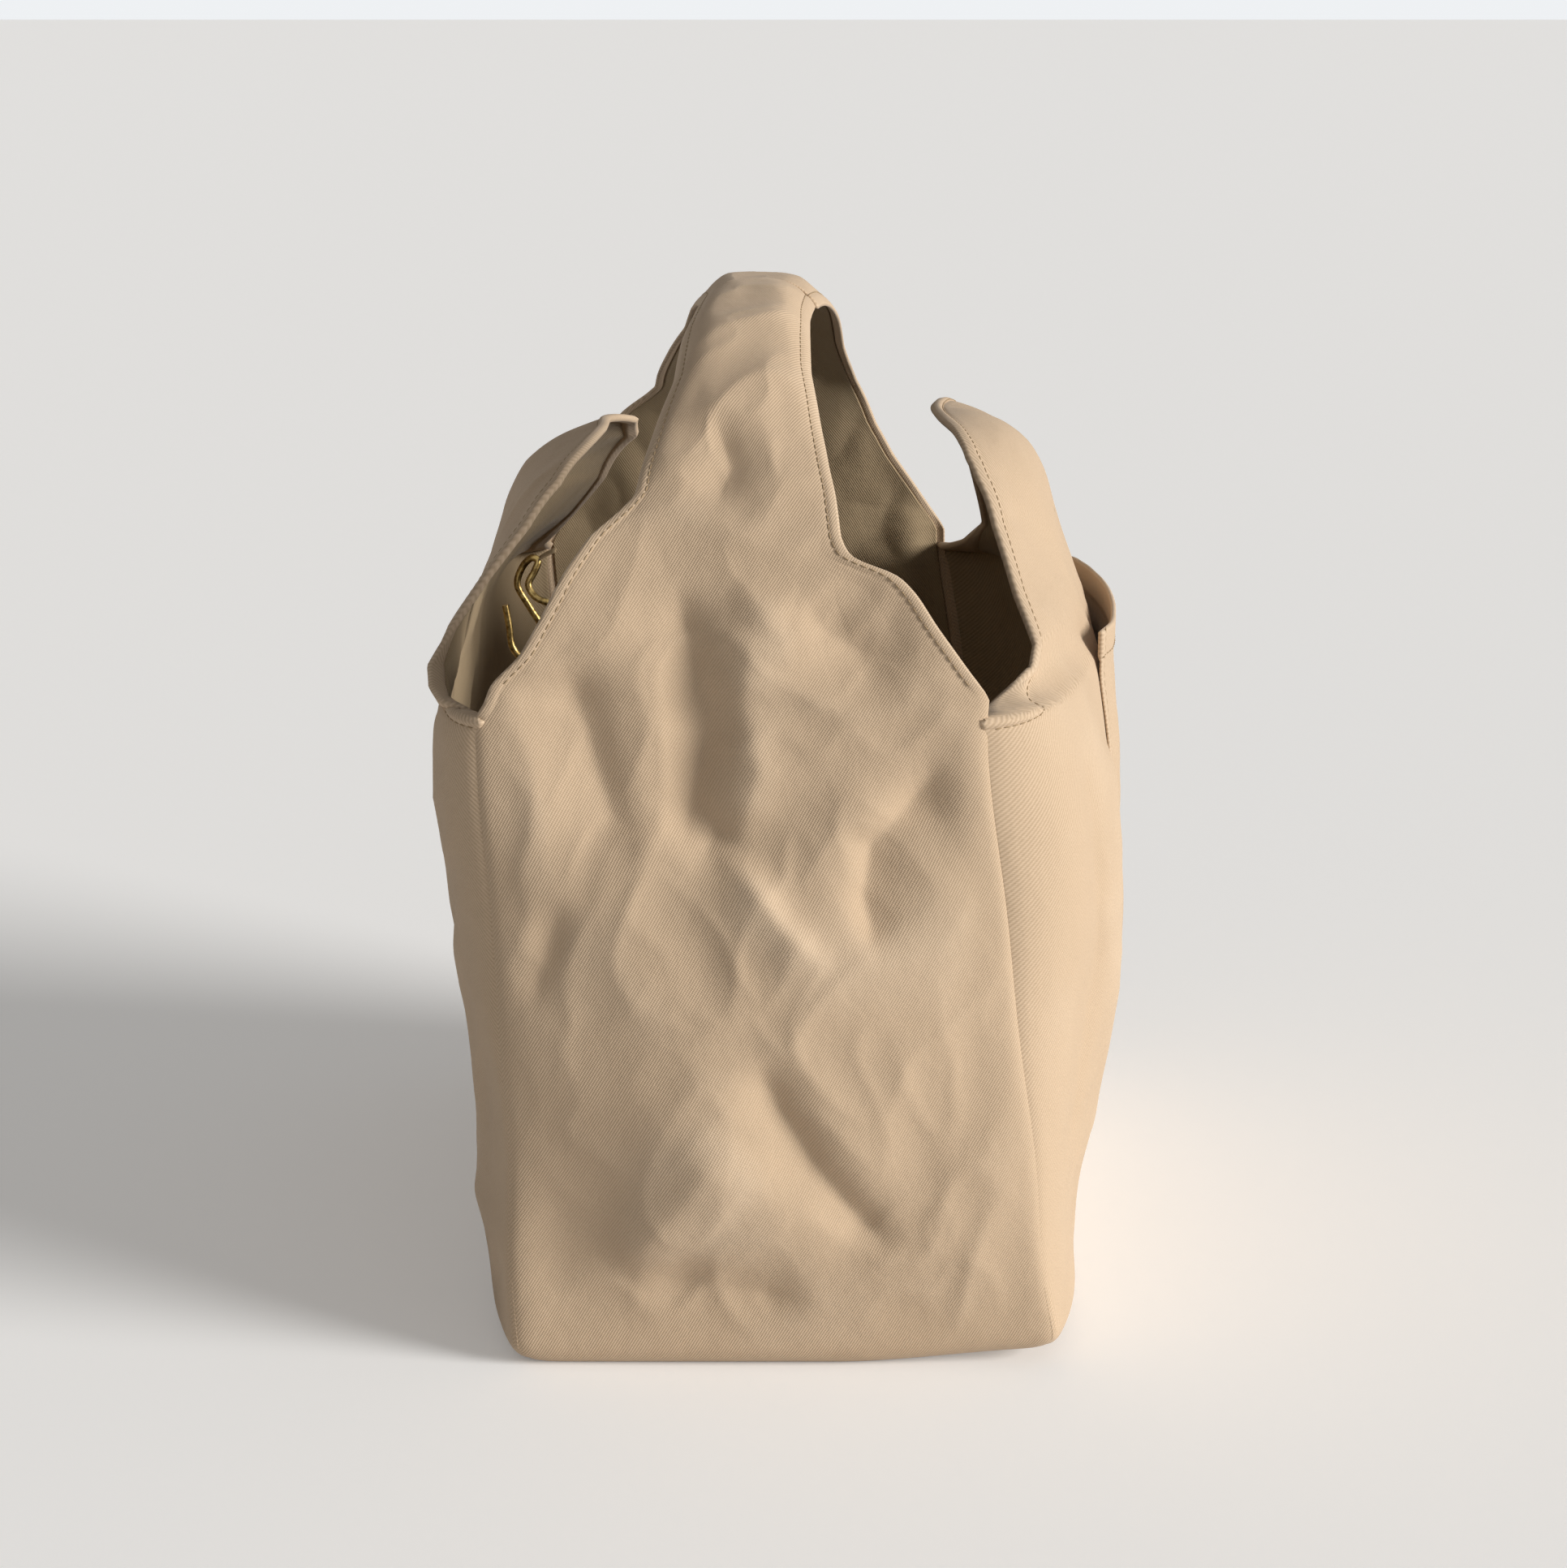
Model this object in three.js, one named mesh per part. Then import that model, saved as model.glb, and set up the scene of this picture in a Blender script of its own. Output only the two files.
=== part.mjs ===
// A soft twill tote bag that stands on its base: two narrow end panels run up into one
// handle over the top, and two wide side panels run up into rounded ears that lean inwards.
// Millimetres, +Z up. X is across the narrow end, Y is along the bag, and the origin is
// the middle of the base's underside. -Y is the front end.

import * as THREE from 'three';

// ---- driving dimensions -------------------------------------------------------------
const HALF_LENGTH = 150;      // base centre to an end panel
const HALF_WIDTH = 90;        // base centre to a side panel, at an end of the base
const NOTCH_HEIGHT = 220;     // where end and side panels part
const HANDLE_TOP = 343;       // crown of the handle arch
const CLOTH = 0.9;            // outer twill, with its turnings
const LINING = 0.8;
const LAYER_GAP = 0.4;        // between two layers that lie on each other
const SIDE_GAP = 0.9;         // the side linings hang a little slacker
const SEAM = 1.3;             // an outer panel stops this far short of a corner
const LINING_SEAM = 2.7;
const BOARD = 2.0;
const FOLD_HEIGHT = 219;      // the ears fold along this line
const FOLD_GAP = 0.5;

// ---- small helpers --------------------------------------------------------------------
const mix = (a, b, t) => a + (b - a) * t;
const clamp01 = (t) => Math.min(1, Math.max(0, t));
const ease = (t) => clamp01(t) ** 2 * (3 - 2 * clamp01(t));
const radians = (degrees) => degrees * Math.PI / 180;

// ---- the bag's surfaces ---------------------------------------------------------------
// Each side leans, flares outwards between its corner seams and curls over as an ear. An
// ear's free edge is pulled further in than its middle, as a petal's is.
const LEFT = {
  out: -1, seamLean: 6.6, seamPower: 0.8, flareLow: 14.5, flareHigh: 25, flareTop: 214,
  hump: 93, lean: radians(30), curl: radians(38), curlStart: 55, curlLength: 50, pull: 10,
};
const RIGHT = {
  out: 1, seamLean: -27, seamPower: 0.75, flareLow: 14, flareHigh: 47, flareTop: 150,
  hump: 100, lean: radians(16), curl: radians(70), curlStart: 60, curlLength: 55, pull: 29,
};
const EAR_START = 205;        // above this height the side panel starts to lean in
const EAR_HALF_LENGTH = 132;

const seamX = (side, z) =>
  side.out * (HALF_WIDTH + side.seamLean * clamp01(z / NOTCH_HEIGHT) ** side.seamPower);

const flare = (side, z) => mix(side.flareLow, side.flareHigh, ease(z / side.flareTop));

// Inward lean and rise of an ear, a millimetres of cloth above EAR_START.
function earProfile(side, a) {
  const steps = 40;
  let lean = 0;
  let rise = 0;
  for (let i = 0; i < steps; i += 1) {
    const at = a * (i + 0.5) / steps;
    const angle = side.lean * ease(at / 20) + side.curl * ease((at - side.curlStart) / side.curlLength);
    lean += Math.sin(angle) * a / steps;
    rise += Math.cos(angle) * a / steps;
  }
  return { lean, rise };
}

// How far the cloth lies inside its bulging middle, y along the bag and s up the cloth.
function inwardDrop(side, y, s, z) {
  const up = clamp01((s - NOTCH_HEIGHT) / side.hump);
  if (up === 0) {
    const power = mix(4, 2.2, ease((s - 180) / 40));
    return flare(side, z) * Math.abs(y / HALF_LENGTH) ** power;
  }
  const edgeY = HALF_LENGTH * Math.acos(Math.sqrt(Math.min(up, 0.999))) * 2 / Math.PI;
  const pull = mix(flare(side, z), side.pull, ease((s - NOTCH_HEIGHT) / 16)) * Math.min(1, (1 - up) / 0.3);
  return pull * Math.min(1.2, Math.abs(y) / edgeY) ** 2.2;
}

// A point of a side panel: y along the bag, s up the cloth from the floor.
function sidePoint(side, y, s) {
  const ear = earProfile(side, Math.max(0, s - EAR_START));
  const z = Math.min(s, EAR_START) + ear.rise;
  const reach = flare(side, z) - ear.lean - inwardDrop(side, y, s, z);
  return new THREE.Vector3(seamX(side, z) + side.out * reach, y, z);
}

const earEdge = (side, y) =>
  NOTCH_HEIGHT + side.hump * Math.cos(Math.PI * y / (2 * HALF_LENGTH)) ** 2;

// The end panels stand nearly upright, then bend over as the handle arch.
const ARCH_START = 225;
const ARCH_HALF_LENGTH = 150;

const END_BULGE = 8;          // how far an end panel swells out in its middle

const endBulge = (u, z) => END_BULGE * 4 * u * (1 - u) * Math.sin(Math.PI * Math.min(1, z / ARCH_START));

function endY(z) {
  if (z <= ARCH_START) return ARCH_HALF_LENGTH;
  const up = (z - ARCH_START) / (HANDLE_TOP - ARCH_START);
  return ARCH_HALF_LENGTH * Math.sqrt(Math.max(0, 1 - up * up));
}

// ---- the handle's foot: a round cut about the axis it sways on -------------------------
const SWAY = { x: -12, z: 293 };
const FOOT_GAP = 0.7;
const FRONT = {
  end: -1, radius: 38, footFrom: -84, footTo: 43, left: -30, right: 14, waist: 6,
  leftShoulder: [[-87, 237], [-73, 266], [-62, 280]],
  rightShoulder: [[22, 270], [33, 266.5], [45, 250], [55, 237]],
};
const BACK = {
  end: 1, radius: 46, footFrom: -56, footTo: 77, left: -30, right: 14, waist: 0,
  leftShoulder: [[-88, 233], [-75, 254], [-63, 264]],
  rightShoulder: [[41, 266], [49, 249], [57, 237]],
};

function footPoint(end, radius, degrees) {
  const angle = radians(degrees);
  return [SWAY.x + radius * Math.sin(angle), SWAY.z - radius * Math.cos(angle)];
}

// Points along a polyline at equal steps, both ends included.
function alongLine(points, count) {
  const line = new THREE.CurvePath();
  for (let i = 1; i < points.length; i += 1) {
    line.add(new THREE.LineCurve(new THREE.Vector2(...points[i - 1]), new THREE.Vector2(...points[i])));
  }
  return Array.from({ length: count + 1 }, (_, i) => line.getPoint(i / count).toArray());
}

// The end panel's upper outline from the left notch to the right one, inset at the seams.
function endOutline(end, inset, drop) {
  const radius = end.radius + FOOT_GAP + drop;
  const arc = [];
  const arcSteps = 8;
  for (let i = 0; i <= arcSteps; i += 1) {
    arc.push(footPoint(end, radius, mix(end.footFrom, end.footTo, i / arcSteps)));
  }
  const lower = ([x, z]) => [x, z - drop];
  const notchLeft = [seamX(LEFT, NOTCH_HEIGHT) + inset, NOTCH_HEIGHT - 5 - drop];
  const notchRight = [seamX(RIGHT, NOTCH_HEIGHT) - inset, NOTCH_HEIGHT + 4 - drop];
  const leftLine = alongLine([notchLeft, ...end.leftShoulder.map(lower), arc[0]], 6);
  const rightLine = alongLine([arc[arcSteps], ...end.rightShoulder.map(lower), notchRight], 6);
  return [...leftLine, ...arc.slice(1, -1), ...rightLine];
}

// ---- closed shells ----------------------------------------------------------------------
// A sheet over a grid of points, thickened along its normal from one offset to another.
function shell(point, across, along, from, to) {
  const rows = along + 1;
  const columns = across + 1;
  const step = 1e-3;
  const positions = [];
  for (const offset of [from, to]) {
    for (let i = 0; i < columns; i += 1) {
      for (let j = 0; j < rows; j += 1) {
        const u = i / across;
        const v = j / along;
        const du = point(Math.min(1, u + step), v).sub(point(Math.max(0, u - step), v));
        const dv = point(u, Math.min(1, v + step)).sub(point(u, Math.max(0, v - step)));
        const normal = du.cross(dv).normalize();
        positions.push(...point(u, v).addScaledVector(normal, offset).toArray());
      }
    }
  }
  const layer = columns * rows;
  const at = (i, j, k) => k * layer + i * rows + j;
  const indices = [];
  const quad = (a, b, c, d) => indices.push(a, b, c, a, c, d);
  for (let i = 0; i < across; i += 1) {
    for (let j = 0; j < along; j += 1) {
      quad(at(i, j, 1), at(i + 1, j, 1), at(i + 1, j + 1, 1), at(i, j + 1, 1));
      quad(at(i, j, 0), at(i, j + 1, 0), at(i + 1, j + 1, 0), at(i + 1, j, 0));
    }
  }
  for (let i = 0; i < across; i += 1) {
    quad(at(i, 0, 0), at(i + 1, 0, 0), at(i + 1, 0, 1), at(i, 0, 1));
    quad(at(i + 1, along, 0), at(i, along, 0), at(i, along, 1), at(i + 1, along, 1));
  }
  for (let j = 0; j < along; j += 1) {
    quad(at(0, j + 1, 0), at(0, j, 0), at(0, j, 1), at(0, j + 1, 1));
    quad(at(across, j, 0), at(across, j + 1, 0), at(across, j + 1, 1), at(across, j, 1));
  }
  const geometry = new THREE.BufferGeometry();
  geometry.setAttribute('position', new THREE.Float32BufferAttribute(positions, 3));
  geometry.setIndex(indices);
  geometry.computeVertexNormals();
  return geometry;
}

// ---- materials ----------------------------------------------------------------------------
const twill = () => new THREE.MeshStandardMaterial({ color: 0xb9a283, roughness: 0.9, metalness: 0 });
const liningCloth = () => new THREE.MeshStandardMaterial({ color: 0xa8946f, roughness: 0.92, metalness: 0 });
const board = () => new THREE.MeshStandardMaterial({ color: 0x8a8478, roughness: 0.95, metalness: 0 });
const brass = () => new THREE.MeshStandardMaterial({ color: 0xa07c34, roughness: 0.35, metalness: 1 });
const thread = () => new THREE.MeshStandardMaterial({ color: 0x8f7a52, roughness: 0.8, metalness: 0 });

const bag = new THREE.Group();

function add(name, geometry, material) {
  const mesh = new THREE.Mesh(geometry, material);
  mesh.name = name;
  bag.add(mesh);
}

// ---- base: panel, board and lining ------------------------------------------------------------
function baseOutline(inset) {
  const steps = 16;
  const points = [];
  for (const side of [RIGHT, LEFT]) {
    for (let i = 0; i <= steps; i += 1) {
      const y = side.out * mix(-1, 1, i / steps) * (HALF_LENGTH - inset);
      points.push(new THREE.Vector2(sidePoint(side, y, 0).x - side.out * inset, y));
    }
  }
  return new THREE.Shape(points);
}

function basePlate(inset, bottom, thickness) {
  const plate = new THREE.ExtrudeGeometry(baseOutline(inset), { depth: thickness, bevelEnabled: false });
  return plate.translate(0, 0, bottom);
}

const boardBottom = CLOTH + LAYER_GAP;
const liningBottom = boardBottom + BOARD + LAYER_GAP;
const liningFloor = liningBottom + LINING + LAYER_GAP;
const outerFloor = CLOTH + LAYER_GAP;
add('base_panel', basePlate(0.5, 0, CLOTH), twill());
add('base_board', basePlate(4, boardBottom, BOARD), board());
add('base_lining', basePlate(3.5, liningBottom, LINING), liningCloth());

// ---- end panels and their linings -----------------------------------------------------------
function endPanel(end, inset, floor, drop, from, to) {
  const top = endOutline(end, inset, drop);
  const across = top.length - 1;
  const surface = (u, v) => {
    const place = u * across;
    const i = Math.min(across - 1, Math.floor(place));
    const x1 = mix(top[i][0], top[i + 1][0], place - i);
    const z1 = mix(top[i][1], top[i + 1][1], place - i);
    const z = mix(floor, z1, v);
    const low = mix(seamX(LEFT, z) + inset, seamX(RIGHT, z) - inset, u);
    return new THREE.Vector3(mix(low, x1, v ** 3), end.end * (endY(z) + endBulge(u, z)), z);
  };
  const facing = end.end < 0 ? surface : (u, v) => surface(1 - u, v);
  return shell(facing, across, 14, from, to);
}

for (const [name, end] of [['front', FRONT], ['back', BACK]]) {
  add(`${name}_panel`, endPanel(end, SEAM, outerFloor, 0, 0, CLOTH), twill());
  add(`${name}_lining`, endPanel(end, LINING_SEAM, liningFloor, 1, -LAYER_GAP - LINING, -LAYER_GAP), liningCloth());
}

// ---- side panels and their linings, up to the fold line -----------------------------------------
function sidePanel(side, seam, floor, from, to) {
  const halfLength = HALF_LENGTH - seam;
  const surface = (u, v) =>
    sidePoint(side, side.out * mix(-halfLength, halfLength, u), mix(floor, FOLD_HEIGHT - FOLD_GAP, v));
  return shell(surface, 14, 10, from, to);
}

function ear(side, from, to) {
  const surface = (u, v) => {
    const y = side.out * mix(-EAR_HALF_LENGTH, EAR_HALF_LENGTH, u);
    return sidePoint(side, y, mix(FOLD_HEIGHT + FOLD_GAP, earEdge(side, y), v));
  };
  return shell(surface, 18, 8, from, to);
}

for (const [name, side] of [['left', LEFT], ['right', RIGHT]]) {
  add(`${name}_side_panel`, sidePanel(side, SEAM, outerFloor, 0, CLOTH), twill());
  add(`${name}_side_lining`, sidePanel(side, LINING_SEAM, liningFloor, -SIDE_GAP - LINING, -SIDE_GAP), liningCloth());
  add(`${name}_ear_panel`, ear(side, 0, CLOTH), twill());
  add(`${name}_ear_facing`, ear(side, -LAYER_GAP - LINING, -LAYER_GAP), liningCloth());
}

// ---- handle: two strips that meet at the crown, each lined ---------------------------------------
const HANDLE_CURL = 8;        // how far the strip's edges turn down
const CROWN_GAP = 0.35;

function handleHalf(end, inset, from, to) {
  const crown = Math.acos(CROWN_GAP / ARCH_HALF_LENGTH);
  const surface = (u, v) => {
    const degrees = mix(end.footFrom, end.footTo, u);
    const [footX, footZ] = footPoint(end, end.radius - inset, degrees);
    const [leftX] = footPoint(end, end.radius, end.footFrom);
    const [rightX] = footPoint(end, end.radius, end.footTo);
    const left = mix(leftX, end.left, ease(v)) + inset;
    const right = mix(rightX, end.right, ease(v)) - end.waist * Math.sin(Math.PI * v) - inset;
    const footAngle = Math.asin((footZ - ARCH_START) / (HANDLE_TOP - ARCH_START));
    const angle = mix(footAngle, crown, v);
    const curl = HANDLE_CURL * ease(v * 2.5) * Math.abs(2 * u - 1) ** 4;
    const x = mix(footX, mix(left, right, u), ease(v * 3));
    const y = (ARCH_HALF_LENGTH - curl) * Math.cos(angle);
    const z = ARCH_START + (HANDLE_TOP - ARCH_START - curl) * Math.sin(angle);
    return new THREE.Vector3(x, end.end * Math.max(y, CROWN_GAP), z);
  };
  const facing = end.end < 0 ? surface : (u, v) => surface(1 - u, v);
  return shell(facing, 10, 14, from, to);
}

for (const [name, end] of [['front', FRONT], ['back', BACK]]) {
  add(`handle_${name}`, handleHalf(end, 0, 0, CLOTH), twill());
  add(`handle_lining_${name}`, handleHalf(end, 1, -LAYER_GAP - LINING, -LAYER_GAP), liningCloth());
}

// ---- patch pocket on the right side, open along its top ------------------------------------------
// Above the height in upright it stands straight, so that the ear folds clear of it.
const POCKET = { from: -62, to: 78, bottom: 84, top: 229, upright: 212, gape: 9 };

function pocketPoint(u, v) {
  const y = mix(POCKET.from, POCKET.to, u);
  const s = mix(POCKET.bottom, POCKET.top, v);
  const open = POCKET.gape * Math.sin(Math.PI * u) ** 0.7 * v ** 2.5;
  const outward = new THREE.Vector3(1, -y / 400, 0).normalize();
  const point = sidePoint(RIGHT, y, Math.min(s, POCKET.upright));
  point.z += Math.max(0, s - POCKET.upright);
  return point.addScaledVector(outward, CLOTH + LAYER_GAP + 0.2 + open);
}

add('pocket_panel', shell(pocketPoint, 12, 10, 0, CLOTH), twill());

// ---- closure: a bent brass hook inside the left ear, and its eye inside the right one --------------
const WIRE = 1.2;             // radius

function wire(points) {
  const section = new THREE.Shape();
  section.absarc(0, 0, WIRE, 0, 2 * Math.PI, false);
  const path = new THREE.CatmullRomCurve3(points, false, 'centripetal');
  return new THREE.ExtrudeGeometry(section, {
    steps: 44, curveSegments: 8, bevelEnabled: false, extrudePath: path,
  });
}

// From the tongue's tip, over the sewn top bend, down the shank and round the bottom of the hook.
const HOOK_Y = -70;
const hookRoute = [
  [-80.6, -3, 241.5], [-84.6, -3, 243.4], [-87, -2, 247.4], [-84.8, -1, 252], [-83.8, 0, 255.2],
  [-86.2, 1, 255.8], [-89.3, 2, 252.4], [-91, 2, 246.6], [-87.6, 2, 239.9], [-83.7, 2, 233.6],
  [-80.4, 1.5, 227.4], [-83, 1, 221.6], [-89.6, 0, 222], [-93, 0, 226], [-93.9, 0, 233], [-95, 0, 240],
];
add('wire_hook', wire(hookRoute.map(([x, y, z]) => new THREE.Vector3(x, HOOK_Y + y, z))), brass());

// A bar of stitches between a wire and the facing behind it.
function tack(x, y, z, turn) {
  const bar = new THREE.CapsuleGeometry(0.8, 3.2, 4, 10);
  return bar.rotateY(turn).translate(x, y, z);
}
add('hook_tack', tack(-80.3, HOOK_Y, 258.9, Math.PI / 2), thread());

function facingPoint(side, y, s, depth) {
  const step = 0.5;
  const along = sidePoint(side, y + step, s).sub(sidePoint(side, y - step, s));
  const up = sidePoint(side, y, s + step).sub(sidePoint(side, y, s - step));
  const inward = along.cross(up).normalize().multiplyScalar(-side.out);
  return sidePoint(side, y, s).addScaledVector(inward, depth);
}

const EYE_HEIGHT = 262;
const eyeRoute = [[-13, 3.4, 2.9], [-12, 1, 2.9], [-8.5, -3, 3], [0, -6, 3.2], [8.5, -3, 3], [12, 1, 2.9], [13, 3.4, 2.9]];
add('wire_eye', wire(eyeRoute.map(([y, s, d]) => facingPoint(RIGHT, y, EYE_HEIGHT + s, d))), brass());
for (const [name, y] of [['eye_tack_front', -13.2], ['eye_tack_back', 13.2]]) {
  const place = facingPoint(RIGHT, y, EYE_HEIGHT + 6.6, 2.9);
  add(name, tack(place.x, place.y, place.z, -0.3), thread());
}

export default bag;
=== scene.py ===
"""A soft tote bag of washed cotton twill, standing on its base and seen from its narrow end."""
import math
from types import SimpleNamespace

import bpy
import numpy as np
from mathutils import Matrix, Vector


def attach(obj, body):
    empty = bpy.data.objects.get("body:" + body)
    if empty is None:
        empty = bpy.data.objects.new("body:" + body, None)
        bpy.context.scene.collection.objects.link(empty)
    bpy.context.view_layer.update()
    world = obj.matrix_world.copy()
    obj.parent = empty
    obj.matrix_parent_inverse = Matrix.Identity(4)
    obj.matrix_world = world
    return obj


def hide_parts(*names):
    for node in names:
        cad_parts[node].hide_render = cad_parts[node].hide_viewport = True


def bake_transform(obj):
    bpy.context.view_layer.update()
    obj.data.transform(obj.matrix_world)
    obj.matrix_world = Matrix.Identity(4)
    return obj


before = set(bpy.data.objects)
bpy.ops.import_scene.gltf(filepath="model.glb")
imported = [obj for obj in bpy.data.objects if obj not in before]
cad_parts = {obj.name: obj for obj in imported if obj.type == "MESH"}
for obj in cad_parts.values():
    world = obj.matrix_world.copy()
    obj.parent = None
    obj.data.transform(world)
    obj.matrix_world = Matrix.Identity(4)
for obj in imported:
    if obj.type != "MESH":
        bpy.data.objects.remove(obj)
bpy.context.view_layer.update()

# ---- camera ------------------------------------------------------------------------------
# The eye is a little above the bag, straight in front of its narrow end, and looks
# down on it. A long lens keeps the sides nearly parallel.
EYE_AT = (-0.0019, -1.143, 0.4616)
LOOK_DOWN = 14.8  # degrees below level
camera = bpy.data.objects.new("camera", bpy.data.cameras.new("camera"))
camera.data.lens = 75.04
camera.location = EYE_AT
camera.rotation_euler = (math.radians(90 - LOOK_DOWN), 0, 0)
bpy.context.collection.objects.link(camera)
bpy.context.scene.camera = camera
bpy.context.scene.view_settings.view_transform = "Standard"

# ---- floor and light -----------------------------------------------------------------------
# A pale matt floor under pale surroundings, with broad soft daylight from the right,
# so that the left side and the inside of the bag fall into shade.
FLOOR_SIZE = 30.0
FLOOR_COLOUR = (0.92, 0.92, 0.925, 1)
FLOOR_GLOW = 0.16  # only the eye sees this, and no light from it falls on the bag
DAYLIGHT_FROM = (0.90, -0.37, 0.31)
DAYLIGHT = 3.9
DAYLIGHT_SPREAD = 26  # degrees of sky that the light fills
SURROUND = (1.0, 0.98, 0.95, 1)
SURROUND_LIGHT = 0.24

floor_material = bpy.data.materials.new("floor")
floor_material.use_nodes = True
floor_shader = floor_material.node_tree.nodes["Principled BSDF"]
floor_shader.inputs["Base Color"].default_value = FLOOR_COLOUR
floor_shader.inputs["Roughness"].default_value = 0.9
floor_shader.inputs["Specular IOR Level"].default_value = 0.2
floor_ray = floor_material.node_tree.nodes.new("ShaderNodeLightPath")
floor_seen = floor_material.node_tree.nodes.new("ShaderNodeMath")
floor_seen.operation = "MULTIPLY"
floor_seen.inputs[1].default_value = FLOOR_GLOW
floor_material.node_tree.links.new(floor_ray.outputs["Is Camera Ray"], floor_seen.inputs[0])
floor_material.node_tree.links.new(floor_seen.outputs[0], floor_shader.inputs["Emission Strength"])
floor_shader.inputs["Emission Color"].default_value = (1, 0.98, 0.95, 1)
floor_mesh = bpy.data.meshes.new("floor")
reach = FLOOR_SIZE / 2
corners = [(-reach, -reach, 0), (reach, -reach, 0), (reach, reach, 0), (-reach, reach, 0)]
floor_mesh.from_pydata(corners, [], [(0, 1, 2, 3)])
floor_mesh.materials.append(floor_material)
floor = bpy.data.objects.new("floor", floor_mesh)
bpy.context.collection.objects.link(floor)

daylight = bpy.data.lights.new("daylight", "SUN")
daylight.energy = DAYLIGHT
daylight.angle = math.radians(DAYLIGHT_SPREAD)
daylight.color = (1.0, 0.985, 0.955)
sun = bpy.data.objects.new("daylight", daylight)
sun.rotation_euler = Vector(DAYLIGHT_FROM).to_track_quat("Z", "Y").to_euler()
bpy.context.collection.objects.link(sun)

world = bpy.data.worlds.new("surroundings")
bpy.context.scene.world = world
world.use_nodes = True
sky = world.node_tree
background = sky.nodes["Background"]
background.inputs["Color"].default_value = SURROUND
background.inputs["Strength"].default_value = SURROUND_LIGHT
seen = sky.nodes.new("ShaderNodeBackground")
seen.inputs["Color"].default_value = (0.86, 0.88, 0.90, 1)
ray = sky.nodes.new("ShaderNodeLightPath")
either = sky.nodes.new("ShaderNodeMath")
either.operation = "MAXIMUM"
choose = sky.nodes.new("ShaderNodeMixShader")
sky.links.new(ray.outputs["Is Camera Ray"], either.inputs[0])
sky.links.new(ray.outputs["Is Glossy Ray"], either.inputs[1])
sky.links.new(either.outputs[0], choose.inputs[0])
sky.links.new(background.outputs[0], choose.inputs[1])
sky.links.new(seen.outputs[0], choose.inputs[2])
sky.links.new(choose.outputs[0], sky.nodes["World Output"].inputs["Surface"])

# ---- side panels with their ears -------------------------------------------------------------
# Two wide panels of twill, flared out between the corner seams and running up into
# rounded ears that lean in over the mouth. Each is lined, turned at its free edge and
# topstitched, and one cloth runs through the line that its ear folds on.
MM = 0.001
HALF_LENGTH = 150.0
HALF_WIDTH = 90.0
NOTCH_HEIGHT = 220.0  # where the end and side panels part
EAR_START = 205.0  # the side panels lean in above this height
BASE_ROUND = 9.0  # radius of the soft bottom edges
BASE_TURN = BASE_ROUND * (math.pi / 2 - 1)  # more cloth than height goes round it
GRAIN = 1.6  # spacing of the modelled cloth
EDGE_STEPS = (0, 0.35, 0.8, 1.4, 2.0, 2.5, 2.9, 3.2, 3.6, 4.4, 5.6)
TOPSTITCH = 3.05  # from the free edge
CLOTH = 0.8
LINING = 0.7
GUSSET = 19  # how sharply the side panels turn out beside the notch

LEFT = SimpleNamespace(
    out=-1, seam_lean=6.6, seam_power=0.8, flare_low=13, flare_high=20, flare_top=214,
    hump=93, lean=20, curl=52, curl_start=55, curl_length=50, gusset=0.6,
    edge_drop=((220, 20), (222, 5), (225, 0), (230, -3.5), (240, -2.5), (255, 2), (270, 8),
               (285, 9.5), (300, 5), (313, 0)),
    far_drop=((220, 20), (226, 17), (240, 22), (262, 31), (285, 34), (300, 22), (313, 0)),
)
RIGHT = SimpleNamespace(
    out=1, seam_lean=-27, seam_power=0.75, flare_low=12, flare_high=44, flare_top=150,
    hump=103, lean=16, curl=70, curl_start=60, curl_length=55, gusset=0.38,
    edge_drop=((220, 44), (225, 33), (230, 24), (236, 21), (250, 24), (270, 25.5), (285, 24),
               (293, 21), (302, 15), (310, 9), (323, 0)),
    far_drop=((220, 44), (226, 34), (236, 25), (255, 24), (285, 22), (302, 13), (323, 0)),
)


def mix(a, b, t):
    return a + (b - a) * t


def ease(t):
    t = np.clip(t, 0, 1)
    return t * t * (3 - 2 * t)


def gradient_noise(x, y, seed):
    """Smooth noise in -1 to 1, with a lattice of 1."""
    x0, y0 = np.floor(x), np.floor(y)
    total = np.zeros_like(x)
    for i in (0, 1):
        for j in (0, 1):
            gx, gy = x0 + i, y0 + j
            angle = np.sin(gx * 127.1 + gy * 311.7 + seed * 74.7) * 43758.5453
            angle = (angle - np.floor(angle)) * 2 * math.pi
            dx, dy = x - gx, y - gy
            fade = (1 - ease(np.abs(dx))) * (1 - ease(np.abs(dy)))
            total += fade * (np.cos(angle) * dx + np.sin(angle) * dy)
    return np.clip(total * 1.5, -1, 1)


def crumple(x, y, seed):
    """Soft ridges and hollows of washed cloth, in millimetres about 0."""
    wx = x + 14 * gradient_noise(x / 60, y / 60, seed + 11)
    wy = y + 14 * gradient_noise(x / 60, y / 60, seed + 17)
    height = 2.2 * gradient_noise(wx / 58, wy / 74, seed)
    for size, amount in ((44, 1.7), (23, 0.8)):
        ridge = 1 - np.abs(gradient_noise(wx / size, wy / (size * 1.3), seed + size))
        height = height + amount * (ridge**2.4 - 0.5)
    return height


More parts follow.
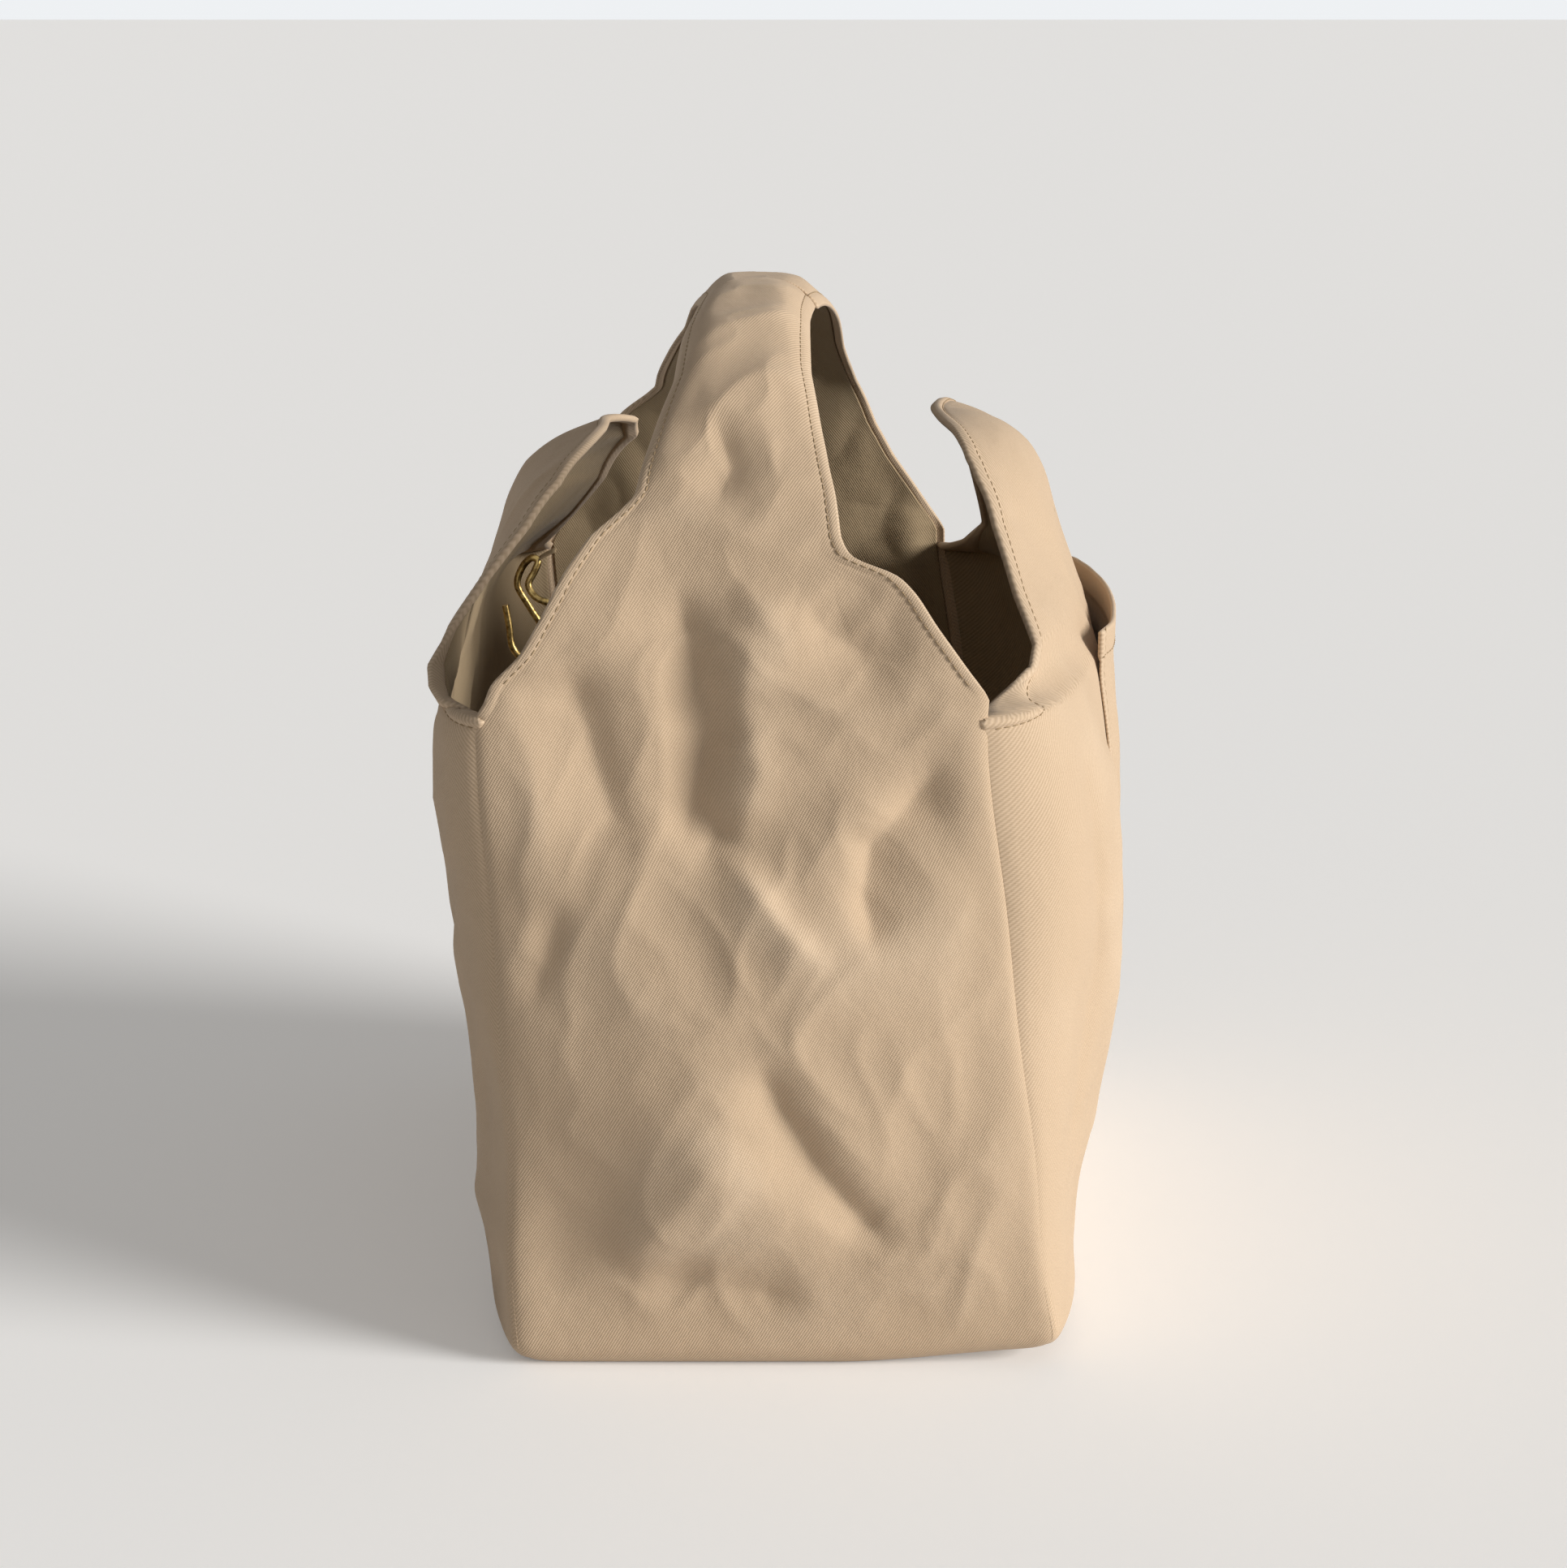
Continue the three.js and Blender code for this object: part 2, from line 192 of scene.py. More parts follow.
def fold(x, y, line, height, left, right, taper=20.0):
    """One crease along a line, with its own width on the left and right of the line's direction."""
    line = np.array(line, float)
    best = np.full(x.shape, 1e9)
    side = np.zeros(x.shape)
    run = np.zeros(x.shape)
    lengths = np.linalg.norm(np.diff(line, axis=0), axis=1)
    total = lengths.sum()
    start = 0.0
    for a, b, length in zip(line[:-1], line[1:], lengths):
        t = np.clip(((x - a[0]) * (b[0] - a[0]) + (y - a[1]) * (b[1] - a[1])) / length**2, 0, 1)
        dx, dy = x - mix(a[0], b[0], t), y - mix(a[1], b[1], t)
        far = np.hypot(dx, dy)
        near = far < best
        best = np.where(near, far, best)
        cross = (b[0] - a[0]) * dy - (b[1] - a[1]) * dx
        side = np.where(near, cross / length / 4, side)
        run = np.where(near, start + t * length, run)
        start += length
    width = mix(right, left, ease(side + 0.5))
    ends = ease(run / taper + 0.15) * ease((total - run) / taper + 0.15)
    return height * ends * np.exp(-((best / width) ** 1.6))


def tuck(z):
    """How far the cloth has turned in under the bag at a height in its soft bottom edge."""
    up = np.clip(BASE_ROUND - z, 0, BASE_ROUND)
    return BASE_ROUND - np.sqrt(np.maximum(BASE_ROUND**2 - up**2, 0))


def rounded_height(s):
    """Height of the cloth at s millimetres along it, where it starts on the underside."""
    turned = np.clip((s + BASE_TURN) / (BASE_ROUND + BASE_TURN), 0, 1) * math.pi / 2
    return np.where(s < BASE_ROUND, BASE_ROUND * (1 - np.cos(turned)), s)


def seam_x(side, z):
    return side.out * (HALF_WIDTH + side.seam_lean * np.clip(z / NOTCH_HEIGHT, 0, 1) ** side.seam_power)


def flare(side, z):
    return mix(side.flare_low, side.flare_high, ease(z / side.flare_top))


def ear_profile(side, a):
    """Inward lean and rise of an ear, at a millimetres of cloth above EAR_START."""
    at = np.arange(0, 140, 0.5) + 0.25
    curled = side.curl * ease((at - side.curl_start) / side.curl_length)
    angle = np.radians(side.lean * ease(at / 20) + curled)
    steps = np.arange(0, 140.5, 0.5)
    lean = np.concatenate([[0], np.cumsum(np.sin(angle) * 0.5)])
    rise = np.concatenate([[0], np.cumsum(np.cos(angle) * 0.5)])
    return np.interp(a, steps, lean), np.interp(a, steps, rise)


def inward_drop(side, y, s, z):
    """How far the side lies inside its widest line, most of all at its seams and free edge."""
    up = np.clip((s - NOTCH_HEIGHT) / side.hump, 0, 0.999)
    edge_y = HALF_LENGTH * np.arccos(np.sqrt(up)) * 2 / math.pi
    near = np.minimum(1.2, np.abs(y) / edge_y)
    full = flare(side, z)
    near_edge = np.interp(s, *np.array(side.edge_drop, float).T)
    far_edge = np.interp(s, *np.array(side.far_drop, float).T)
    at_edge = np.where(s < NOTCH_HEIGHT, full, mix(near_edge, far_edge, ease((y + 18) / 36)))
    corner = full * side.gusset * ease((s - 60) / 150)
    broad = mix(full - corner, at_edge, ease((s - NOTCH_HEIGHT) / 25))
    power = mix(4, 2.2, ease((s - 180) / 40))
    return broad * near**power + (at_edge - broad) * np.minimum(near, 1) ** GUSSET


def settle(points):
    """The whole bag's small slumps: wandering seams, and a front corner that lifts off the floor."""
    x, y, z = points[..., 0], points[..., 1], points[..., 2]
    free = ease((z - 4) / 60)
    dx = free * (1.4 * np.sin(z / 33 + y / 71 + 0.8) + 0.6 * np.sin(z / 15 - y / 43))
    dy = free * (1.2 * np.sin(z / 29 + x / 37 + 2.1) + 0.5 * np.sin(z / 12.5 + x / 23))
    lift = 5.0 * ease((x - 15) / 75) * ease((-y - 70) / 80) * (1 - ease(z / 130))
    return np.stack([x + dx, y + dy, np.maximum(z, 0.95) + lift], axis=-1)


def normals_of(points):
    n = np.cross(np.gradient(points, axis=0), np.gradient(points, axis=1))
    return n / np.maximum(np.linalg.norm(n, axis=-1, keepdims=True), 1e-9)


def sample(field, u, v):
    """Smooth values of an even grid at places given as shares, 0 to 1, of its two sides."""
    across, along = field.shape[:2]
    places = []
    for share, count in ((u, across), (v, along)):
        at = np.clip(share, 0, 1) * (count - 1)
        cell = np.clip(np.floor(at), 0, count - 2).astype(int)
        t = at - cell
        weights = (-0.5 * t + t**2 - 0.5 * t**3, 1 - 2.5 * t**2 + 1.5 * t**3,
                   0.5 * t + 2 * t**2 - 1.5 * t**3, -0.5 * t**2 + 0.5 * t**3)
        places.append([(np.clip(cell + k - 1, 0, count - 1), w) for k, w in enumerate(weights)])
    total = 0
    for i, wi in places[0]:
        for j, wj in places[1]:
            total = total + field[i, j] * (wi * wj)[..., None]
    return total


def slacken(points, slack, frames=22):
    """Let a held grid of cloth, cut a little too large, buckle into its own soft creases."""
    unit = 0.02  # the cloth is worked at twenty times its size
    across, along = points.shape[:2]
    i, j = np.meshgrid(np.arange(across - 1), np.arange(along - 1), indexing="ij")
    a = (i * along + j).ravel()
    faces = np.stack([a, a + along, a + along + 1, a + 1], axis=1)
    mesh = bpy.data.meshes.new("slack")
    mesh.from_pydata((points.reshape(-1, 3) * unit).tolist(), [], faces.tolist())
    cloth_object = bpy.data.objects.new("slack", mesh)
    bpy.context.collection.objects.link(cloth_object)
    held = cloth_object.vertex_groups.new(name="held")
    index = np.arange(across * along).reshape(across, along)
    edge = np.concatenate([index[0], index[-1], index[:, 0], index[:, -1]])
    held.add(np.unique(edge).tolist(), 1.0, "REPLACE")
    inset = np.minimum(np.minimum(index // along, across - 1 - index // along) * 2.0, 12)
    inset = np.minimum(inset, np.minimum(index % along, along - 1 - index % along) * 2.0)
    loose = cloth_object.vertex_groups.new(name="loose")
    for level in range(1, 7):
        inside = index[(inset >= level * 2) & (inset < level * 2 + 2)]
        loose.add(inside.tolist(), level / 6, "REPLACE")
    modifier = cloth_object.modifiers.new("cloth", "CLOTH")
    cloth = modifier.settings
    cloth.vertex_group_mass = "held"
    cloth.quality = 7
    cloth.mass = 0.15
    cloth.tension_stiffness = 40
    cloth.compression_stiffness = 40
    cloth.shear_stiffness = 20
    cloth.bending_stiffness = 0.8
    cloth.air_damping = 2
    cloth.vertex_group_shrink = "loose"
    cloth.shrink_min = 0
    cloth.shrink_max = -slack
    cloth.effector_weights.gravity = 0.03
    modifier.collision_settings.use_collision = False
    modifier.point_cache.frame_start = 1
    modifier.point_cache.frame_end = frames
    for step in range(1, frames + 1):
        bpy.context.scene.frame_set(step)
    settled = cloth_object.evaluated_get(bpy.context.evaluated_depsgraph_get())
    flat = np.zeros(across * along * 3, np.float32)
    settled.data.vertices.foreach_get("co", flat)
    bpy.data.objects.remove(cloth_object)
    bpy.data.meshes.remove(mesh)
    bpy.context.scene.frame_set(1)
    return flat.reshape(across, along, 3) / unit


def closed_sheet(name, points, over, under, weave, wear, material):
    """A closed piece of cloth over a grid of points, from under to over its surface, with a round rim."""
    across, along = points.shape[:2]
    n = normals_of(points)
    top = points + n * over[..., None]
    low = points - n * under[..., None]
    ring = [(i, 0) for i in range(across)] + [(across - 1, j) for j in range(1, along)]
    ring += [(i, along - 1) for i in range(across - 2, -1, -1)] + [(0, j) for j in range(along - 2, 0, -1)]
    ri = np.array([r[0] for r in ring])
    rj = np.array([r[1] for r in ring])
    out = points[ri, rj] - points[np.clip(ri, 1, across - 2), np.clip(rj, 1, along - 2)]
    out /= np.maximum(np.linalg.norm(out, axis=-1, keepdims=True), 1e-9)
    rim = (top[ri, rj] + low[ri, rj]) / 2 + out * (over + under)[ri, rj][:, None] * 0.45
    layer = across * along
    vertices = np.concatenate([top.reshape(-1, 3), low.reshape(-1, 3), rim]) * MM
    i, j = np.meshgrid(np.arange(across - 1), np.arange(along - 1), indexing="ij")
    a, b = (i * along + j).ravel(), ((i + 1) * along + j).ravel()
    upper = np.stack([a, b, b + 1, a + 1], axis=1)
    lower = np.stack([a, a + 1, b + 1, b], axis=1) + layer
    edge = ri * along + rj
    following = np.roll(edge, -1)
    rim_at = np.arange(len(edge)) + 2 * layer
    rim_next = np.roll(rim_at, -1)
    walls_top = np.stack([following, edge, rim_at, rim_next], axis=1)
    walls_low = np.stack([rim_next, rim_at, edge + layer, following + layer], axis=1)
    faces = np.concatenate([upper, lower, walls_top, walls_low])
    mesh = bpy.data.meshes.new(name)
    mesh.from_pydata(vertices.tolist(), [], faces.tolist())
    flat_weave = np.concatenate([weave.reshape(-1, 2), weave.reshape(-1, 2), weave[ri, rj]]) * MM
    flat_wear = np.concatenate([wear.ravel(), wear.ravel(), wear[ri, rj]])
    uv = mesh.uv_layers.new(name="weave")
    uv.data.foreach_set("uv", flat_weave[faces.ravel()].astype(np.float32).ravel())
    worn = mesh.attributes.new("wear", "FLOAT", "POINT")
    worn.data.foreach_set("value", flat_wear.astype(np.float32))
    mesh.polygons.foreach_set("use_smooth", np.ones(len(faces), bool))
    mesh.materials.append(material)
    mesh.update()
    made = bpy.data.objects.new(name, mesh)
    bpy.context.collection.objects.link(made)
    return made


def twill(name, colour, fade, shade):
    """Washed 3/1 cotton twill: slanting cords, slubs, faded ridges and a soft bloom on the surface."""
    material = bpy.data.materials.new(name)
    material.use_nodes = True
    tree = material.node_tree
    link = tree.links.new
    shader = tree.nodes["Principled BSDF"]

    def node(kind, **settings):
        made = tree.nodes.new("ShaderNode" + kind)
        for key, value in settings.items():
            setattr(made, key, value)
        return made

    def math_node(operation, a, b=None):
        made = node("Math", operation=operation)
        for socket, value in zip(made.inputs, (a, b)):
            if isinstance(value, (int, float)):
                socket.default_value = value
            elif value is not None:
                link(value, socket)
        return made.outputs[0]

    def wave(direction, pitch):
        dot = node("VectorMath", operation="DOT_PRODUCT")
        link(uv.outputs[0], dot.inputs[0])
        dot.inputs[1].default_value = [c * 2 * math.pi / pitch for c in direction]
        return math_node("SINE", dot.outputs["Value"])

    def noise(scale, detail, source):
        made = node("TexNoise")
        made.inputs["Scale"].default_value = scale
        made.inputs["Detail"].default_value = detail
        link(source, made.inputs["Vector"])
        return made.outputs["Fac"]

    uv = node("UVMap", uv_map="weave")
    place = node("TexCoord").outputs["Object"]
    cord = wave((0.857, -0.515, 0), 0.00080)
    yarn = wave((0.515, 0.857, 0), 0.00062)
    cloth_height = math_node("ADD", cord, math_node("MULTIPLY", yarn, 0.35))
    slub = noise(1400, 3, uv.outputs[0])
    patch = noise(22, 3, place)
    wear = node("Attribute", attribute_name="wear").outputs["Fac"]

    faded = node("Mix", data_type="RGBA")
    faded.inputs["A"].default_value = colour
    faded.inputs["B"].default_value = fade
    uneven = math_node("SUBTRACT", patch, 0.5)
    link(math_node("MULTIPLY", math_node("ADD", wear, uneven), 0.8), faded.inputs["Factor"])
    dark = node("Mix", data_type="RGBA", blend_type="MULTIPLY")
    dark.inputs["B"].default_value = shade
    thread_dark = math_node("ADD", math_node("MULTIPLY", cord, -0.26), math_node("MULTIPLY", slub, 0.5))
    link(thread_dark, dark.inputs["Factor"])
    link(faded.outputs["Result"], dark.inputs["A"])
    link(dark.outputs["Result"], shader.inputs["Base Color"])
    link(math_node("ADD", 0.80, math_node("MULTIPLY", slub, 0.16)), shader.inputs["Roughness"])
    shader.inputs["Specular IOR Level"].default_value = 0.22
    shader.inputs["Sheen Weight"].default_value = 0.10
    shader.inputs["Sheen Roughness"].default_value = 0.45
    weave_bump = node("Bump")
    weave_bump.inputs["Strength"].default_value = 0.4
    weave_bump.inputs["Distance"].default_value = 0.00010
    link(math_node("ADD", cloth_height, math_node("MULTIPLY", slub, 1.6)), weave_bump.inputs["Height"])
    pucker = node("Bump")
    pucker.inputs["Strength"].default_value = 0.4
    pucker.inputs["Distance"].default_value = 0.0010
    link(noise(120, 4, place), pucker.inputs["Height"])
    link(weave_bump.outputs[0], pucker.inputs["Normal"])
    link(pucker.outputs[0], shader.inputs["Normal"])
    return material


outer_twill = twill("outer_twill", (0.60, 0.45, 0.31, 1), (0.72, 0.57, 0.42, 1), (0.62, 0.58, 0.52, 1))
# The lining: the same twill as the outer cloth, a little yellower, with its colours darkened as painted shade
# for the shaded inside of the bag.
lining_twill_painted_shade = twill("lining_twill_painted_shade", (0.40, 0.30, 0.185, 1), (0.48, 0.37, 0.24, 1), (0.62, 0.58, 0.52, 1))


def edged(width, first, last):
    """Shares of a width, close together at its two edges and even between them, for each width given."""
    count = max(2, int(round(np.max(width) / GRAIN)))
    even = np.linspace(0, 1, count + 1)
    low = np.array(first[:-1])[:, None] + 0 * width[None]
    high = width[None] - np.array(last[-2::-1])[:, None]
    middle = first[-1] + (width[None] - first[-1] - last[-1]) * even[:, None]
    return np.concatenate([low, middle, high]) / width[None]


def rolled(distance, free):
    """Cloth over and under its surface near an edge: a turned roll and the groove of its stitching."""
    roll = np.exp(-(((distance - 1.5) / 1.35) ** 2))
    groove = np.exp(-(((distance - TOPSTITCH) / 0.55) ** 2))
    over = CLOTH + free * (0.75 * roll - 0.5 * groove)
    under = 0.1 + free * 1.45 * (1 - ease((distance - 1.6) / 1.4))
    return over, under


def side_form(side, u, v):
    """A side panel and its ear without creases, at shares across it and up it."""
    y = (2 * u - 1) * HALF_LENGTH * side.out
    top = NOTCH_HEIGHT + side.hump * np.cos(math.pi * y / (2 * HALF_LENGTH)) ** 2
    s = mix(-BASE_TURN, top, v)
    cloth_z = rounded_height(s)
    lean, rise = ear_profile(side, np.maximum(0, cloth_z - EAR_START))
    z = np.minimum(cloth_z, EAR_START) + rise
    under = tuck(z)
    reach = flare(side, z) - lean - inward_drop(side, y, cloth_z, z) - under
    points = np.stack([seam_x(side, z) + side.out * reach, y * (1 - under / HALF_LENGTH), z], axis=-1)
    slope = np.abs(side.hump * math.pi / (2 * HALF_LENGTH) * np.sin(math.pi * y / HALF_LENGTH))
    return SimpleNamespace(
        points=points, along=s, place=np.stack([y, s], axis=-1), seam=HALF_LENGTH - np.abs(y),
        edge=(top - s) / np.sqrt(1 + slope**2), free=ease((s - NOTCH_HEIGHT + 6) / 6),
        roll=1.0, give=0 * s + 1,
    )


def creased(form, seed, folds, amount):
    """A form's points with its creases, and their height. Seams and edges stay calm."""
    x, y = form.place[..., 0], form.place[..., 1]
    height = crumple(x, y, seed) * amount
    for line in folds:
        height = height + fold(x, y, *line)
    calm = ease(form.seam / 20) * ease((form.along - 4) / 26) * ease(form.edge / 14 + 0.1)
    height = height * mix(calm, ease(form.edge / 12), form.free)
    height = height - 1.6 * np.exp(-form.seam / 1.8) * (1 - form.free)
    return settle(form.points + normals_of(form.points) * height[..., None]), height


def worked(make_form, seed, folds, amount, slack):
    """The finished surface of one cloth: its form, its creases, and the buckles of its slack."""
    moved = None
    even = np.meshgrid(np.linspace(0, 1, 84), np.linspace(0, 1, 130), indexing="ij")
    start, _ = creased(make_form(*even), seed, folds, amount)
    moved = slacken(start, slack) - start

    def surface(u, v):
        form = make_form(u, v)
        form.points, form.height = creased(form, seed, folds, amount)
        if moved is not None:
            shift = sample(moved, u, v) * form.give[..., None]
            form.height = form.height + (shift * normals_of(form.points)).sum(axis=-1)
            form.points = form.points + shift
        form.points[..., 2] = np.maximum(form.points[..., 2], 0.95)
        form.wear = np.clip(form.height / 8, -0.3, 0.4) + 0.35 * form.free * np.exp(-form.edge / 1.5)
        form.over, form.under = rolled(form.edge, form.free * form.roll)
        return form

    return surface


def lined(name, form, keep, outer_nodes, lining_nodes):
    """The outer cloth of a form and the lining inside it, riding together."""
    outer = closed_sheet(
        f"{name}_cloth", form.points, form.over, form.under, form.place, form.wear, outer_twill
    )
    inner_points = form.points[keep]
    hang = np.full(inner_points.shape[:2], -0.22)
    mirrored = form.place[keep] * (-1, 1)
    inner_wear = form.wear[keep] * 0.5
    # The lining takes the darkened twill, whose colour carries painted shade.
    lining = closed_sheet(
        f"{name}_lining_cloth", inner_points, hang, LINING - hang, mirrored, inner_wear, lining_twill_painted_shade
    )
    for piece, slot, nodes in ((outer, "twill", outer_nodes), (lining, "lining", lining_nodes)):
        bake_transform(piece)
        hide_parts(*nodes)
    return outer, lining


LEFT_FOLDS = (
    (((-120, 150), (-112, 90), (-100, 30)), 2.6, 4, 12),
    (((-60, 190), (-40, 120), (-52, 60)), -3.0, 6, 16),
    (((30, 200), (50, 140), (38, 70)), 3.0, 7, 18),
    (((90, 180), (70, 110), (96, 40)), -2.6, 6, 15),
)
RIGHT_FOLDS = (
    (((100, 190), (92, 120), (104, 50)), 2.6, 6, 15),
    (((-118, 205), (-112, 130), (-124, 60)), -2.4, 6, 12),
    (((-84, 200), (-90, 120), (-80, 50)), 2.4, 6, 14),
    (((20, 200), (-10, 70), (24, 30)), -2.6, 8, 18),
)
sides = {}
for name, side, seed, folds in (("left", LEFT, 3, LEFT_FOLDS), ("right", RIGHT, 8, RIGHT_FOLDS)):
    across = edged(np.array([2 * HALF_LENGTH]), EDGE_STEPS[:6], EDGE_STEPS[:6])[:, 0]
    column_y = (2 * across - 1) * HALF_LENGTH
    tall = BASE_TURN + NOTCH_HEIGHT + side.hump * np.cos(math.pi * column_y / (2 * HALF_LENGTH)) ** 2
    up = edged(tall, (0, 1.6), EDGE_STEPS).T
    u = np.broadcast_to(across[:, None], up.shape)
    surface = worked(lambda a, b, side=side: side_form(side, a, b), seed, folds, 0.7, 0.011)
    form = surface(u, up)
    outer_nodes = (f"{name}_side_panel", f"{name}_ear_panel")
    lining_nodes = (f"{name}_side_lining", f"{name}_ear_facing")
    keep = (slice(2, -2), slice(6, -6))
    lined(f"{name}_side", form, keep, outer_nodes, lining_nodes)
    sides[name] = SimpleNamespace(form=form, surface=surface)

# ---- end panels that run on as the handle --------------------------------------------------------
# Each narrow end is one piece of twill that rises between the corner seams, narrows at
# its shoulders and bends over as half of the handle. The strip's edges are turned,
# topstitched and curl down along the handle. The two halves are joined at the crown.
ARCH_START = 225.0
HANDLE_TOP = 340.0
END_BULGE = 13.0
CURL = 9.0  # how far the handle's edges turn down
LEFT_EDGE = (
    (-5, -96.6), (3, -92), (7.3, -83.6), (14, -77), (20, -71.5), (26, -63.5), (30, -54.5), (33, -49.5),
    (38, -48), (49, -42.5), (58, -37), (71, -34), (80, -31), (90, -29),
)
FRONT_RIGHT_EDGE = (
    (1, 63), (5.4, 55.5), (12.2, 44.6), (17, 38), (20.3, 31.5), (21.4, 24.5), (22.4, 17.5), (25.6, 14),
    (33, 12.5), (38, 11), (47, 9), (60, 7), (79, 8), (90, 10),
)
BACK_RIGHT_EDGE = (
    (1, 63), (4, 58.5), (9.5, 51), (16, 42), (23.5, 34.7), (35.6, 27.8), (50, 22), (62.6, 19), (90, 11),
)
FRONT = SimpleNamespace(end=-1, right=FRONT_RIGHT_EDGE)
BACK = SimpleNamespace(end=1, right=BACK_RIGHT_EDGE)

arch_degrees = np.linspace(0, 90, 400)
arch_y = HALF_LENGTH * np.cos(np.radians(arch_degrees))
arch_z = (HANDLE_TOP - ARCH_START) * np.sin(np.radians(arch_degrees))
arch_run = np.concatenate([[0], np.cumsum(np.hypot(np.diff(arch_y), np.diff(arch_z)))])
END_RUN = ARCH_START + arch_run[-1]


def soft_line(points, at, blur=1.1):
    """A line through points, rounded a little at its corners."""
    x, y = np.array(points, float).T
    dense = np.arange(x[0] - 6, x[-1] + 6, 0.25)
    values = np.interp(dense, x, y)
    window = np.exp(-((np.arange(-20, 21) * 0.25 / blur) ** 2))
    padded = np.pad(values, 20, mode="edge")
    return np.interp(at, dense, np.convolve(padded, window / window.sum(), mode="valid"))


def end_edges(end, s):
    """The left and right edge of an end strip at s millimetres along it, and its angle on the arch."""
    degrees = np.interp(s - ARCH_START, arch_run, arch_degrees)
    at = np.where(s < ARCH_START, s - ARCH_START, degrees)
    z = np.minimum(rounded_height(s), ARCH_START)
    left = np.where(at < -5, seam_x(LEFT, z), soft_line(LEFT_EDGE, at)) + tuck(z)
    right = np.where(at < 1, seam_x(RIGHT, z), soft_line(end.right, at)) - tuck(z)
    return left, right, at, z


def end_form(end, u, v):
    """An end panel and its half of the handle without creases, at shares across it and up it."""
    s = mix(-BASE_TURN, END_RUN - 0.15, v)
    left, right, at, z_panel = end_edges(end, s)
    x = mix(left, right, u if end.end < 0 else 1 - u)
    d = 0.5
    left_next, right_next, _, _ = end_edges(end, s + d)
    left_slope = np.minimum(np.hypot(1, (left_next - left) / d), 2.5)
    right_slope = np.minimum(np.hypot(1, (right_next - right) / d), 2.5)
    edge = np.minimum((x - left) / left_slope, (right - x) / right_slope)
    handle = ease((at - 24) / 26)
    across = 2 * (x - left) / (right - left) - 1
    angle = np.radians(np.maximum(0, at))
    curl = CURL * handle * np.abs(across) ** 3.5
    bulge = END_BULGE * (1 - across**2) * np.sin(math.pi * np.clip(s / ARCH_START, 0, 1))
    y = (HALF_LENGTH - curl) * np.cos(angle) + bulge - tuck(z_panel)
    z_arch = ARCH_START + (HANDLE_TOP - ARCH_START - curl) * np.sin(angle)
    z = np.where(s < ARCH_START, z_panel, z_arch)
    free = ease((at - np.where(across < 0, -6, 0)) / 4)
    return SimpleNamespace(
        points=np.stack([x, end.end * np.maximum(y, 0.15), z], axis=-1), along=s,
        place=np.stack([x, s], axis=-1), seam=edge, edge=mix(60, edge, ease(free * 3)), free=free,
        roll=0.4, give=mix(1, 0.3, handle) + 0 * x,
    )


FRONT_FOLDS = (
    (((-71, 240), (-62, 216), (-55, 190), (-44, 180)), -5.0, 9, 15),
    (((-38, 264), (-29, 234), (-24, 216), (-31, 190), (-34, 178)), -6.0, 8, 14),
    (((-12, 250), (-14, 226), (-8, 204), (-16, 180)), 3.2, 8, 13),
    (((-28, 196), (-22, 184), (-30, 172)), -4.0, 6, 9),
    (((11, 139), (-4, 156), (-18, 178)), 4.6, 14, 5),
    (((52, 206), (38, 191), (27, 180), (24, 164), (28, 142)), -4.6, 14, 6),
    (((34, 42), (18, 59), (7, 73), (-4, 93), (-13, 112)), -6.0, 13, 7),
    (((-56, 36), (-38, 59), (-19, 88)), 4.2, 12, 14),
    (((-72, 164), (-80, 140), (-84, 122)), -3.4, 7, 12),
    (((-48, 36), (-20, 30), (8, 25)), -3.4, 10, 12),
    (((-26, 330), (-20, 306), (-26, 284)), -4.0, 7, 11),
    (((2, 262), (8, 250), (24, 240), (40, 238)), -4.0, 9, 10),
    (((16, 252), (-2, 246), (-20, 262)), 3.4, 8, 10),
)
BACK_FOLDS = (
    (((60, 240), (48, 210), (50, 180), (30, 160)), -4.6, 8, 13),
    (((-30, 258), (-18, 224), (-26, 190)), -4.8, 8, 14),
    (((-60, 170), (-30, 140), (0, 132), (30, 100)), 4.0, 7, 15),
    (((40, 80), (10, 60), (-20, 66), (-50, 40)), -4.6, 8, 14),
    (((70, 130), (60, 90), (66, 50)), -3.4, 8, 12),
    (((-10, 320), (4, 296), (-6, 276)), -3.6, 7, 11),
)
ends = {}
for name, end, seed, folds in (("front", FRONT, 5, FRONT_FOLDS), ("back", BACK, 14, BACK_FOLDS)):
    up = np.linspace(0, 1, int(END_RUN / (GRAIN * 0.9)))
    left, right, at, _ = end_edges(end, mix(-BASE_TURN, END_RUN - 0.15, up))
    u = edged(right - left, EDGE_STEPS, EDGE_STEPS)
    v = np.broadcast_to(up[None], u.shape)
    surface = worked(lambda a, b, end=end: end_form(end, a, b), seed, folds, 1.0, 0.013)
    form = surface(u, v)
    outer_nodes = (f"{name}_panel", f"handle_{name}")
    lining_nodes = (f"{name}_lining", f"handle_lining_{name}")
    keep = (slice(6, -6), slice(6, None))
    lined(f"{name}_end", form, keep, outer_nodes, lining_nodes)
    ends[name] = form

# ---- base, its board and its lining -----------------------------------------------------------------
# A panel of the same twill closes the bottom. A thin stiff board keeps it flat, and a
# lining of twill lies over the board. One front corner stands a little off the floor.
def base_grid(inset, z, columns=72, rows=110):
    y_share, x_share = np.meshgrid(np.linspace(-1, 1, rows), np.linspace(0, 1, columns), indexing="ij")
    y = y_share * (HALF_LENGTH - BASE_ROUND + 0.6 - inset)
    bow = 1 - np.abs(y / HALF_LENGTH) ** 4
    left = -(HALF_WIDTH - BASE_ROUND + 0.6 - inset + LEFT.flare_low * bow)
    right = HALF_WIDTH - BASE_ROUND + 0.6 - inset + RIGHT.flare_low * bow
    x = mix(left, right, x_share)
    points = settle(np.stack([x, y, np.full_like(x, z)], axis=-1))
    return points, np.stack([x, y], axis=-1)


